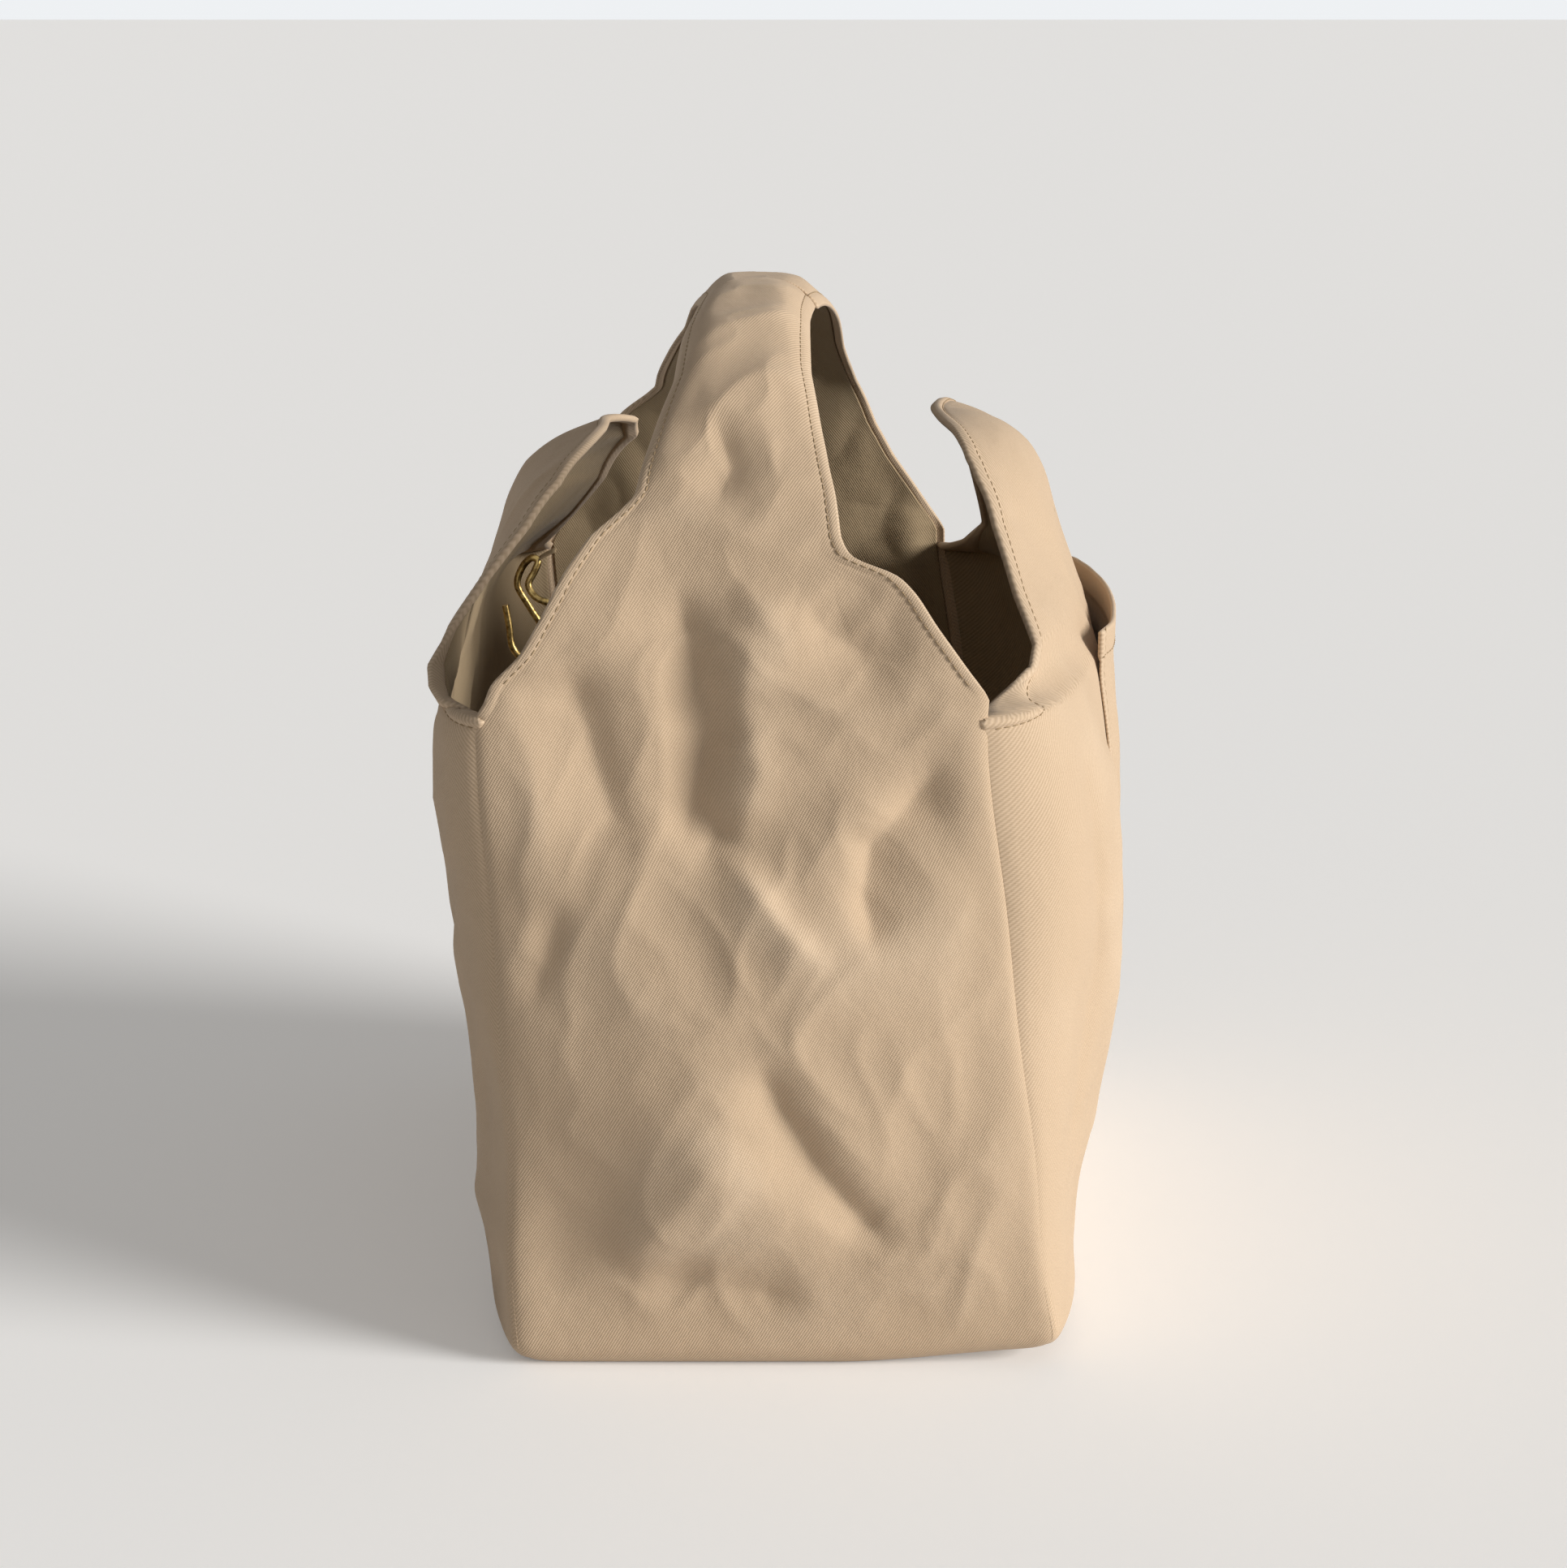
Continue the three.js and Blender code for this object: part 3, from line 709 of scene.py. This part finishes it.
even_wear = np.zeros((110, 72))
points, place = base_grid(0, 0)
base = closed_sheet("base_cloth", points, even_wear + CLOTH, even_wear + 0.1, place, even_wear, outer_twill)
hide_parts("base_panel")

points, place = base_grid(2.5, 4.1)
rumple = 0.5 * gradient_noise(place[..., 0] / 40, place[..., 1] / 40, 2)
points[..., 2] += rumple
points, place = points[::-1], place[::-1]
# The base lining also takes the darkened twill with painted shade.
base_lining = closed_sheet("base_lining_cloth", points, even_wear + 0.4, even_wear + 0.3, place, even_wear,
                           lining_twill_painted_shade)
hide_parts("base_lining")
for piece in (base, base_lining):
    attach(piece, "bag")

board_material = bpy.data.materials.new("board")
board_material.use_nodes = True
board_nodes = board_material.node_tree
board_noise = board_nodes.nodes.new("ShaderNodeTexNoise")
board_noise.inputs["Scale"].default_value = 260
board_noise.inputs["Detail"].default_value = 4
board_place = board_nodes.nodes.new("ShaderNodeTexCoord")
board_ramp = board_nodes.nodes.new("ShaderNodeValToRGB")
board_ramp.color_ramp.elements[0].color = (0.30, 0.24, 0.17, 1)
board_ramp.color_ramp.elements[1].color = (0.44, 0.36, 0.27, 1)
board_nodes.links.new(board_place.outputs["Object"], board_noise.inputs["Vector"])
board_nodes.links.new(board_noise.outputs["Fac"], board_ramp.inputs["Fac"])
board_nodes.links.new(board_ramp.outputs["Color"], board_nodes.nodes["Principled BSDF"].inputs["Base Color"])
board_nodes.nodes["Principled BSDF"].inputs["Roughness"].default_value = 0.85
points, place = base_grid(4.5, 1.45)
points = points[::-1]
board = closed_sheet("base_board_sheet", points, even_wear + 1.8, even_wear, place, even_wear, board_material)
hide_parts("base_board")
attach(board, "bag")

# ---- patch pocket -----------------------------------------------------------------------------------
# A plain patch of twill sewn to the right side along three edges, with a turned hem
# along its open top. The top gapes, most of all at its middle.
POCKET_FROM = -62.0
POCKET_TO = 78.0
POCKET_BOTTOM = 84.0
POCKET_TOP = 229.0
POCKET_UPRIGHT = 212.0  # the top stands straight above this
POCKET_GAPE = 2.6
POCKET_HEM = 9.0


def pocket_surface(u, v):
    y = mix(POCKET_FROM, POCKET_TO, u)
    s = mix(POCKET_BOTTOM, POCKET_TOP, v)
    held = np.minimum(s, POCKET_UPRIGHT)
    top = NOTCH_HEIGHT + RIGHT.hump * np.cos(math.pi * y / (2 * HALF_LENGTH)) ** 2
    panel = sides["right"].surface((y / HALF_LENGTH + 1) / 2, (held + BASE_TURN) / (top + BASE_TURN))
    edge = np.minimum(np.minimum(y - POCKET_FROM, POCKET_TO - y), s - POCKET_BOTTOM)
    puff = 1.05 + 1.6 * ease(edge / 14) + 0.5 * gradient_noise(y / 34, s / 40, 5) * ease(edge / 20)
    gape = POCKET_GAPE * np.sin(math.pi * u) ** 0.7 * v**2.5
    outward = np.array([1.0, 0.0, 0.12])
    outward = outward - np.array([0, 1.0, 0]) * (y / 400)[..., None]
    outward /= np.linalg.norm(outward, axis=-1, keepdims=True)
    points = panel.points + outward * (puff + gape)[..., None]
    points[..., 2] += np.maximum(0, s - POCKET_UPRIGHT)
    return points, np.stack([y, s], axis=-1), edge, POCKET_TOP - s


pocket_u, pocket_v = np.meshgrid(
    edged(np.array([POCKET_TO - POCKET_FROM]), EDGE_STEPS, EDGE_STEPS)[:, 0],
    edged(np.array([POCKET_TOP - POCKET_BOTTOM]), EDGE_STEPS, EDGE_STEPS)[:, 0], indexing="ij",
)
points, place, edge, from_top = pocket_surface(pocket_u, pocket_v)
over, under = rolled(edge, 0.5 + 0 * edge)
hem = ease((POCKET_HEM + 0.6 - from_top) / 1.2)
groove = np.exp(-(((from_top - POCKET_HEM + 1) / 0.6) ** 2))
over = over + 0.25 * hem - 0.3 * groove
under = 0.05 + 0.7 * hem
pocket_wear = 0.3 * np.exp(-edge / 1.5) + 0.3 * np.exp(-from_top / 1.5)
pocket = closed_sheet("pocket_cloth", points, over, under, place, pocket_wear, outer_twill)
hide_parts("pocket_panel")
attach(pocket, "bag")

# ---- closure: hook and eye ----------------------------------------------------------------------------
# A hook of stout round brass wire is held inside the left ear by a bar of thread at the
# top bend of its tongue. Its eye, a shallow staple of the same wire, sits inside the
# right ear between two bars of thread. The brass is old, with brown in its hollows.
HOOK_Y = -70
HOOK_ROUTE = (
    (-80.6, -3, 241.5), (-84.6, -3, 243.4), (-87, -2, 247.4), (-84.8, -1, 252), (-83.8, 0, 255.2),
    (-86.2, 1, 255.8), (-89.3, 2, 252.4), (-91, 2, 246.6), (-87.6, 2, 239.9), (-83.7, 2, 233.6),
    (-80.4, 1.5, 227.4), (-83, 1, 221.6), (-89.6, 0, 222), (-93, 0, 226), (-93.9, 0, 233), (-95, 0, 240),
)
EYE_HEIGHT = 262
EYE_ROUTE = (
    (-13, 3.4, 2.9), (-12, 1, 2.9), (-8.5, -3, 3), (0, -6, 3.2), (8.5, -3, 3), (12, 1, 2.9), (13, 3.4, 2.9),
)
WIRE = 1.2  # radius
THREAD = 0.27

brass = bpy.data.materials.new("old_brass")
brass.use_nodes = True
brass_nodes = brass.node_tree
brass_shader = brass_nodes.nodes["Principled BSDF"]
brass_shader.inputs["Metallic"].default_value = 1
brass_place = brass_nodes.nodes.new("ShaderNodeTexCoord")
brass_noise = brass_nodes.nodes.new("ShaderNodeTexNoise")
brass_noise.inputs["Scale"].default_value = 700
brass_noise.inputs["Detail"].default_value = 5
brass_ramp = brass_nodes.nodes.new("ShaderNodeValToRGB")
brass_ramp.color_ramp.elements[0].position = 0.35
brass_ramp.color_ramp.elements[0].color = (0.16, 0.10, 0.035, 1)
brass_ramp.color_ramp.elements[1].position = 0.65
brass_ramp.color_ramp.elements[1].color = (0.50, 0.35, 0.13, 1)
brass_rough = brass_nodes.nodes.new("ShaderNodeMapRange")
brass_rough.inputs["To Min"].default_value = 0.50
brass_rough.inputs["To Max"].default_value = 0.28
brass_bump = brass_nodes.nodes.new("ShaderNodeBump")
brass_bump.inputs["Strength"].default_value = 0.25
brass_bump.inputs["Distance"].default_value = 0.0001
brass_nodes.links.new(brass_place.outputs["Object"], brass_noise.inputs["Vector"])
brass_nodes.links.new(brass_noise.outputs["Fac"], brass_ramp.inputs["Fac"])
brass_nodes.links.new(brass_noise.outputs["Fac"], brass_rough.inputs["Value"])
brass_nodes.links.new(brass_noise.outputs["Fac"], brass_bump.inputs["Height"])
brass_nodes.links.new(brass_ramp.outputs["Color"], brass_shader.inputs["Base Color"])
brass_nodes.links.new(brass_rough.outputs["Result"], brass_shader.inputs["Roughness"])
brass_nodes.links.new(brass_bump.outputs["Normal"], brass_shader.inputs["Normal"])

thread = bpy.data.materials.new("thread")
thread.use_nodes = True
thread_nodes = thread.node_tree
thread_shader = thread_nodes.nodes["Principled BSDF"]
thread_shader.inputs["Roughness"].default_value = 0.7
thread_place = thread_nodes.nodes.new("ShaderNodeTexCoord")
thread_wave = thread_nodes.nodes.new("ShaderNodeTexNoise")
thread_wave.inputs["Scale"].default_value = 3000
thread_ramp = thread_nodes.nodes.new("ShaderNodeValToRGB")
thread_ramp.color_ramp.elements[0].color = (0.24, 0.165, 0.085, 1)
thread_ramp.color_ramp.elements[1].color = (0.42, 0.30, 0.175, 1)
thread_bump = thread_nodes.nodes.new("ShaderNodeBump")
thread_bump.inputs["Strength"].default_value = 0.4
thread_bump.inputs["Distance"].default_value = 0.0001
thread_nodes.links.new(thread_place.outputs["Object"], thread_wave.inputs["Vector"])
thread_nodes.links.new(thread_wave.outputs["Fac"], thread_ramp.inputs["Fac"])
thread_nodes.links.new(thread_wave.outputs["Fac"], thread_bump.inputs["Height"])
thread_nodes.links.new(thread_ramp.outputs["Color"], thread_shader.inputs["Base Color"])
thread_nodes.links.new(thread_bump.outputs["Normal"], thread_shader.inputs["Normal"])


def smooth_route(route, steps=9):
    """A line of points in millimetres, rounded through its given points."""
    share = np.linspace(0, 1, (len(route) - 1) * steps + 1)
    line = np.array(route, float)[:, None]
    return sample(np.repeat(line, 2, axis=1), share, share * 0)


def round_tube(name, lines, radius, material):
    """One mesh of round tubes with closed ends, one along each line of points."""
    curve = bpy.data.curves.new(name, "CURVE")
    curve.dimensions = "3D"
    curve.bevel_depth = radius * MM
    curve.bevel_resolution = 5
    curve.use_fill_caps = True
    for line in lines:
        spline = curve.splines.new("POLY")
        spline.points.add(len(line) - 1)
        for point, co in zip(spline.points, np.asarray(line) * MM):
            point.co = (*co, 1)
    source = bpy.data.objects.new(name, curve)
    bpy.context.collection.objects.link(source)
    bpy.context.view_layer.update()
    mesh = bpy.data.meshes.new_from_object(source.evaluated_get(bpy.context.evaluated_depsgraph_get()))
    bpy.data.objects.remove(source)
    mesh.name = name
    mesh.materials.clear()
    mesh.materials.append(material)
    mesh.polygons.foreach_set("use_smooth", np.ones(len(mesh.polygons), bool))
    made = bpy.data.objects.new(name, mesh)
    bpy.context.collection.objects.link(made)
    return made


def thread_bar(name, centre, along, across, outward, length, width):
    """A bar of close zigzag thread, over whatever it holds down."""
    along, across, outward = (np.array(a, float) / np.linalg.norm(a) for a in (along, across, outward))
    turns = np.linspace(0, 1, int(length / (THREAD * 1.5)) * 6 + 1)
    phase = turns * int(length / (THREAD * 1.5)) * math.pi
    line = (np.array(centre) + along * ((turns - 0.5) * length)[:, None]
            + across * (np.cos(phase) * width / 2)[:, None]
            + outward * (0.5 * np.abs(np.sin(phase)))[:, None])
    return round_tube(name, [line], THREAD, thread)


hook = round_tube("hook_wire", [smooth_route(HOOK_ROUTE) + (0, HOOK_Y, 0)], WIRE, brass)
hook_bar = thread_bar("hook_thread", (-80.6, -70, 257.2), (0, 1, 0.1), (1, 0, 0.5), (0.5, 0, 1), 5, 6)


def right_ear_inside(y, s, depth):
    y, s = np.array([[y, y + 1.0], [y, y + 1.0]]), np.array([[s, s], [s + 1.0, s + 1.0]])
    top = NOTCH_HEIGHT + RIGHT.hump * np.cos(math.pi * y / (2 * HALF_LENGTH)) ** 2
    found = sides["right"].surface((y / HALF_LENGTH + 1) / 2, (s + BASE_TURN) / (top + BASE_TURN)).points
    normal = np.cross(found[0, 1] - found[0, 0], found[1, 0] - found[0, 0])
    return found[0, 0] - normal / np.linalg.norm(normal) * depth, normal / np.linalg.norm(normal)


eye_line = [right_ear_inside(y, EYE_HEIGHT + s, depth)[0] for y, s, depth in EYE_ROUTE]
eye = round_tube("eye_wire", [smooth_route(eye_line)], WIRE, brass)
eye_bars = []
for bar_name, y in (("eye_thread_front", -12.6), ("eye_thread_back", 12.6)):
    at, normal = right_ear_inside(y, EYE_HEIGHT + 2.6, 3.6)
    eye_bars.append(thread_bar(bar_name, at, (0, 0.15, 1), (0, 1, 0), -normal, 4.4, 5))
for piece, body, slot, node in (
    (hook, "left_ear", "brass", "wire_hook"), (hook_bar, "left_ear", "thread", "hook_tack"),
    (eye, "right_ear", "brass", "wire_eye"), (eye_bars[0], "right_ear", "thread", "eye_tack_front"),
    (eye_bars[1], "right_ear", "thread", "eye_tack_back"),
):
    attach(piece, body)
    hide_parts(node)

# ---- topstitching --------------------------------------------------------------------------------------
# One row of machine stitches holds every turned edge: round both ears, up the handle's
# edges, and round the pocket. Each stitch is a short slack length of thread pulled
# into the cloth at its ends.
stitch_tree = bpy.data.node_groups.new("topstitch", "GeometryNodeTree")
for socket_name, kind in (("Geometry", "NodeSocketGeometry"), ("Spacing", "NodeSocketFloat"),
                          ("Stitch", "NodeSocketVector"), ("Thread", "NodeSocketMaterial")):
    stitch_tree.interface.new_socket(name=socket_name, in_out="INPUT", socket_type=kind)
stitch_tree.interface.new_socket(name="Geometry", in_out="OUTPUT", socket_type="NodeSocketGeometry")


def stitch_node(kind):
    return stitch_tree.nodes.new(kind)


row_in = stitch_node("NodeGroupInput")
row_curve = stitch_node("GeometryNodeMeshToCurve")
row_points = stitch_node("GeometryNodeResampleCurve")
row_points.mode = "LENGTH"
tangent = stitch_node("GeometryNodeInputTangent")
align = stitch_node("FunctionNodeAlignRotationToVector")
wobble = stitch_node("FunctionNodeRandomValue")
wobble.data_type = "FLOAT_VECTOR"
wobble.inputs["Min"].default_value = (-0.05, -0.05, -0.05)
wobble.inputs["Max"].default_value = (0.05, 0.05, 0.05)
wobble.inputs["Seed"].default_value = 7
turn = stitch_node("FunctionNodeRotateRotation")
bead = stitch_node("GeometryNodeMeshUVSphere")
bead.inputs["Segments"].default_value = 8
bead.inputs["Rings"].default_value = 6
bead.inputs["Radius"].default_value = 1
bead_shape = stitch_node("GeometryNodeTransform")
bead_smooth = stitch_node("GeometryNodeSetShadeSmooth")
laid = stitch_node("GeometryNodeInstanceOnPoints")
realized = stitch_node("GeometryNodeRealizeInstances")
threaded = stitch_node("GeometryNodeSetMaterial")
row_out = stitch_node("NodeGroupOutput")
for source, target in (
    (row_in.outputs["Geometry"], row_curve.inputs["Mesh"]),
    (row_curve.outputs["Curve"], row_points.inputs["Curve"]),
    (row_in.outputs["Spacing"], row_points.inputs["Length"]),
    (row_points.outputs["Curve"], laid.inputs["Points"]),
    (tangent.outputs["Tangent"], align.inputs["Vector"]),
    (align.outputs["Rotation"], turn.inputs["Rotation"]),
    (wobble.outputs["Value"], turn.inputs["Rotate By"]),
    (turn.outputs["Rotation"], laid.inputs["Rotation"]),
    (bead.outputs["Mesh"], bead_shape.inputs["Geometry"]),
    (row_in.outputs["Stitch"], bead_shape.inputs["Scale"]),
    (bead_shape.outputs["Geometry"], bead_smooth.inputs["Geometry"]),
    (bead_smooth.outputs["Geometry"], laid.inputs["Instance"]),
    (laid.outputs["Instances"], realized.inputs["Geometry"]),
    (realized.outputs["Geometry"], threaded.inputs["Geometry"]),
    (row_in.outputs["Thread"], threaded.inputs["Material"]),
    (threaded.outputs["Geometry"], row_out.inputs["Geometry"]),
):
    stitch_tree.links.new(source, target)
align.axis = "X"
STITCH_PITCH = 3.1
STITCH_HALF = (1.22, 0.26, 0.22)  # half its length, width and height


def stitch_rows(name, rows):
    """The stitches along several lines of points, as one mesh."""
    mesh = bpy.data.meshes.new(name + "_line")
    counts = [len(row) for row in rows]
    starts = np.concatenate([[0], np.cumsum(counts)[:-1]])
    edges = [(int(s + k), int(s + k + 1)) for s, n in zip(starts, counts) for k in range(n - 1)]
    mesh.from_pydata((np.concatenate(rows) * MM).tolist(), edges, [])
    line = bpy.data.objects.new(name + "_line", mesh)
    bpy.context.collection.objects.link(line)
    modifier = line.modifiers.new("topstitch", "NODES")
    modifier.node_group = stitch_tree
    settings = {"Spacing": STITCH_PITCH * MM, "Stitch": [h * MM for h in STITCH_HALF], "Thread": thread}
    for item in stitch_tree.interface.items_tree:
        if item.in_out == "INPUT" and item.name in settings:
            modifier[item.identifier] = settings[item.name]
    bpy.context.view_layer.update()
    made_mesh = bpy.data.meshes.new_from_object(line.evaluated_get(bpy.context.evaluated_depsgraph_get()))
    bpy.data.objects.remove(line)
    made_mesh.name = name
    made = bpy.data.objects.new(name, made_mesh)
    bpy.context.collection.objects.link(made)
    return made


def over_surface(form, lift):
    return form.points + normals_of(form.points) * (form.over + lift)[..., None]


for name in ("left", "right"):
    form = sides[name].form
    outside = over_surface(form, 0.1)
    row = (outside[:, -7] + outside[:, -8]) / 2
    ear_stitches = stitch_rows(f"{name}_ear_stitches", [row[4:-4]])
    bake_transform(ear_stitches)
handle_rows = []
for name in ("front", "back"):
    form = ends[name]
    outside = over_surface(form, 0.05)
    free_from = int(np.argmax(form.along[0] > ARCH_START + 6))
    handle_rows.append(((outside[6] + outside[7]) / 2)[free_from:])
    handle_rows.append(((outside[-7] + outside[-8]) / 2)[free_from:])
handle_stitches = stitch_rows("handle_stitches", handle_rows)
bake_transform(handle_stitches)
outside = points + normals_of(points) * (over + 0.1)[..., None]
down, along_bottom, up_again = outside[7, ::-1], outside[7:-7, 7], outside[-8]
hem_row = outside[2:-2, int(np.argmin(np.abs(from_top[0] - POCKET_HEM + 1)))]
pocket_stitches = stitch_rows("pocket_stitches", [down[:-7], along_bottom, up_again[7:], hem_row])
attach(pocket_stitches, "bag")
